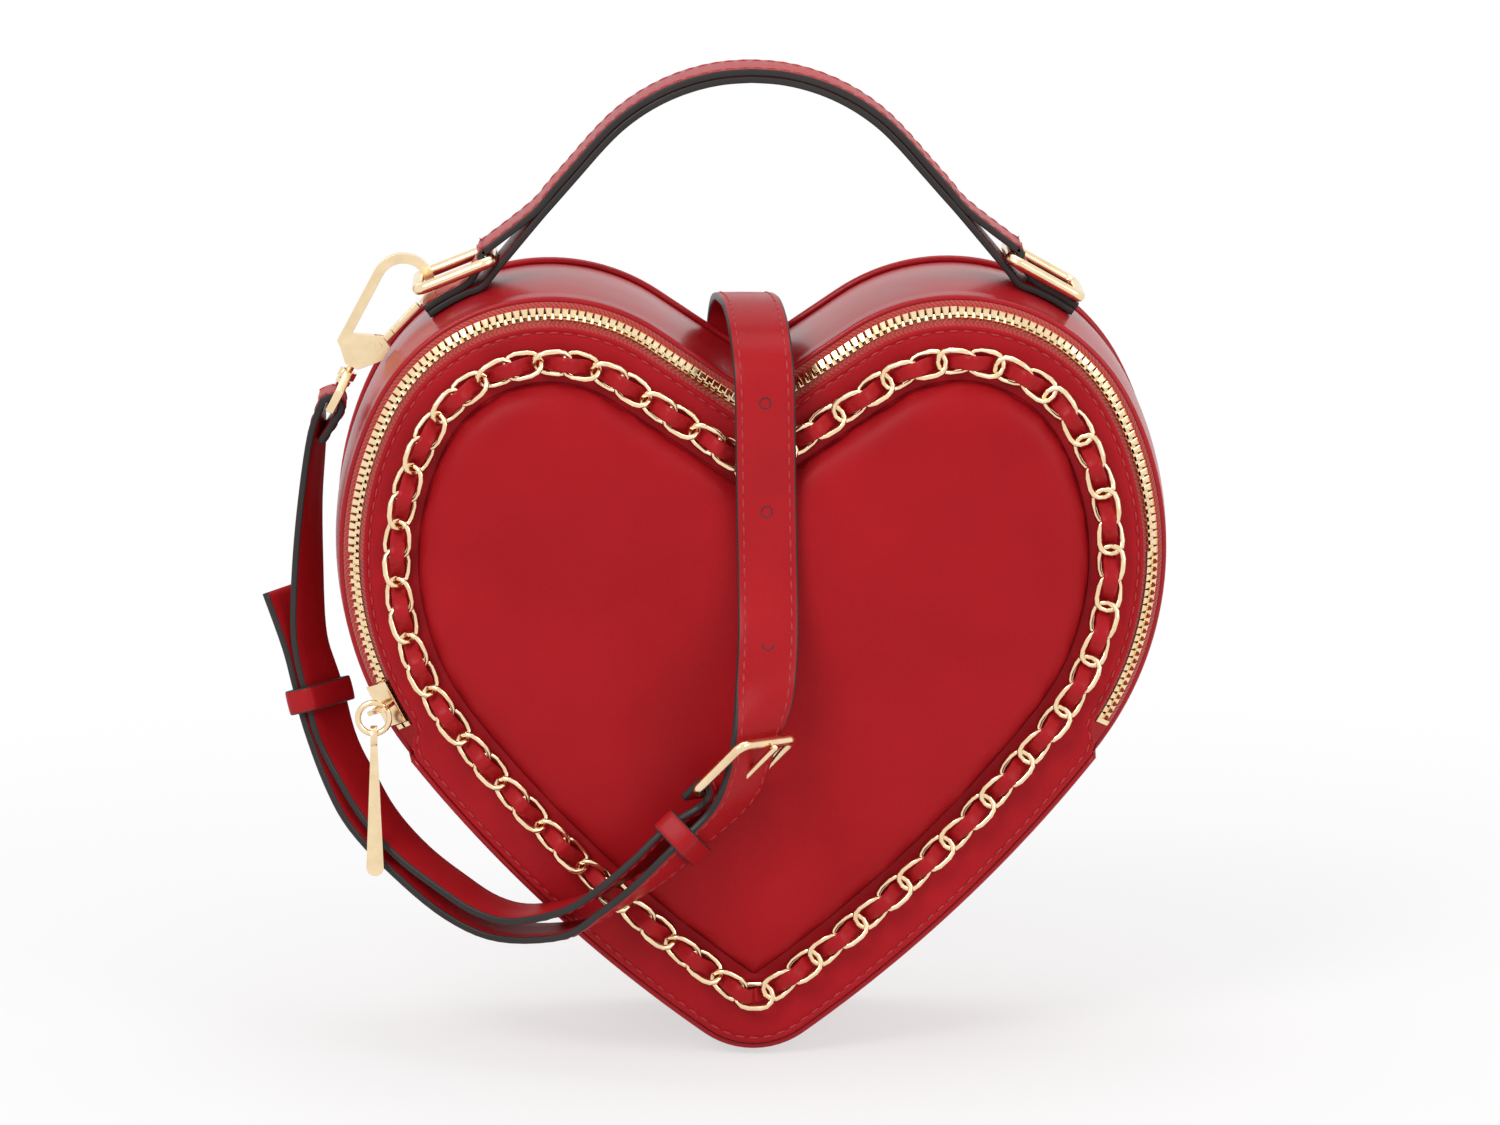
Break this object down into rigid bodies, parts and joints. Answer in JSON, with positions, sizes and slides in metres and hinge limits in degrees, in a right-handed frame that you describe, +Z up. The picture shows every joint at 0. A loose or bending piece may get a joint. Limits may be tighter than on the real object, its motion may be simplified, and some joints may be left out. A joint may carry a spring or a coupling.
{
  "type": "heart shaped purse",
  "caption": "Heart shaped leather purse with a zipped front, a padded heart ringed by chain and lace, a top handle on rings and a buckled shoulder strap.",
  "frame": {"origin": "tip of the heart at its lower end, at mid depth of the gusset, where a stand or a hand holds the purse upright", "axes": "+Z up from the tip to the handle, +X to the right seen from the front, the padded front faces -Y"},
  "size_m": [0.2162, 0.1124, 0.2383],
  "materials": {
    "leather": "semi-gloss",
    "leather_trim": "semi-gloss",
    "painted_edge": "satin",
    "zip_tape": "woven",
    "lining": "matte",
    "board": "matte",
    "hardware": "polished"
  },
  "bodies": {
    "body": {"back_panel": "leather", "back_board": "board", "back_lining": "lining", "back_piping": "leather_trim", "gusset_upper": "leather", "gusset_lower": "leather", "gusset_lining": "lining", "slip_pocket": "lining", "zip_tape_rear": "zip_tape", "zip_teeth_rear": "hardware", "zip_tape_front_ends": "zip_tape", "zip_teeth_front_ends": "hardware", "zip_stops": "hardware", "zip_end_tab_left": "leather_trim", "zip_end_tab_right": "leather_trim", "front_panel_lower": "leather", "front_board_lower": "board", "front_lining_lower": "lining", "front_padding_lower": "leather", "chain_lower": "hardware", "lace_lower": "leather", "handle_tab_left": "painted_edge", "handle_tab_right": "painted_edge", "strap_buckle_run": "leather", "strap_tongue_end": "leather", "strap_back_run": "leather", "keeper_fixed": "leather_trim", "buckle_frame": "hardware", "hook_eye_left": "hardware", "hook_eye_right": "hardware"},
    "flap": {"front_panel_upper": "leather", "front_board_upper": "board", "front_lining_upper": "lining", "front_padding_upper": "leather", "chain_upper": "hardware", "lace_upper": "leather", "zip_tape_front": "zip_tape", "zip_teeth_front": "hardware", "strap_front_run": "leather", "strap_crest": "leather"},
    "slider": {"slider_body": "hardware"},
    "pull_ring": {"pull_ring": "hardware"},
    "pull_bar": {"pull_bar": "hardware"},
    "handle": {"handle_outer_layer": "leather", "handle_inner_layer": "painted_edge"},
    "ring_left": {"ring_left": "hardware"},
    "ring_right": {"ring_right": "hardware"},
    "hook_left": {"hook_body_left": "hardware", "hook_rivet_left": "hardware"},
    "gate_left": {"hook_gate_left": "hardware"},
    "hook_right": {"hook_body_right": "hardware", "hook_rivet_right": "hardware"},
    "gate_right": {"hook_gate_right": "hardware"},
    "prong": {"buckle_prong": "hardware"},
    "keeper": {"keeper_sliding": "leather_trim"}
  },
  "joints": [
    {"name": "flap_open", "type": "hinge", "parent": "body", "child": "flap", "pos_m": [0, -0.04167, 0.093], "axis": [1, 0, 0], "range_deg": [0, 35], "stiffness_Nm_per_rad": 0.05, "deforming": ["strap_front_run", "strap_crest"]},
    {"name": "slider_travel", "type": "hinge", "parent": "body", "child": "slider", "pos_m": [-0.01921, -0.02901, 0.12103], "axis": [0, 1, 0], "range_deg": [0, 50]},
    {"name": "pull_ring_swing", "type": "hinge", "parent": "slider", "child": "pull_ring", "pos_m": [-0.09088, -0.03343, 0.08388], "axis": [0, 1, 0], "range_deg": [-4, 25]},
    {"name": "pull_bar_swing", "type": "hinge", "parent": "pull_ring", "child": "pull_bar", "pos_m": [-0.09177, -0.03343, 0.0784], "axis": [1, 0, 0], "range_deg": [-30, 0]},
    {"name": "handle_tilt", "type": "hinge", "parent": "body", "child": "handle", "pos_m": [0, 0, 0.20365], "axis": [1, 0, 0], "range_deg": [-20, 20], "stiffness_Nm_per_rad": 0.05},
    {"name": "ring_left_swing", "type": "hinge", "parent": "body", "child": "ring_left", "pos_m": [-0.06287, 0, 0.19014], "axis": [0, 1, 0], "range_deg": [-1, 7]},
    {"name": "ring_right_swing", "type": "hinge", "parent": "body", "child": "ring_right", "pos_m": [0.06287, 0, 0.19014], "axis": [0, -1, 0], "range_deg": [0, 50]},
    {"name": "hook_left_swivel", "type": "hinge", "parent": "body", "child": "hook_left", "pos_m": [-0.09431, 0, 0.16808], "axis": [0.4711, 0, 0.8821], "range_deg": [-7, 7]},
    {"name": "gate_left_open", "type": "hinge", "parent": "hook_left", "child": "gate_left", "pos_m": [-0.09043, 0, 0.16771], "axis": [0, -1, 0], "range_deg": [0, 20], "stiffness_Nm_per_rad": 0.004, "springref_deg": -11.46},
    {"name": "hook_right_swivel", "type": "hinge", "parent": "body", "child": "hook_right", "pos_m": [-0.003, 0.0412, 0.0777], "axis": [0, 0, -1], "range_deg": [-20, 20]},
    {"name": "gate_right_open", "type": "hinge", "parent": "hook_right", "child": "gate_right", "pos_m": [0.0006, 0.0412, 0.0762], "axis": [0, 1, 0], "range_deg": [0, 20], "stiffness_Nm_per_rad": 0.004, "springref_deg": -11.46},
    {"name": "prong_lift", "type": "hinge", "parent": "body", "child": "prong", "pos_m": [-0.0083, -0.0513, 0.0683], "axis": [0.6867, 0.7242, -0.0624], "range_deg": [0, 20]},
    {"name": "keeper_slide", "type": "slide", "parent": "body", "child": "keeper", "axis": [0.2173, -0.1612, -0.9627], "range_m": [-0.004, 0.004]}
  ]
}
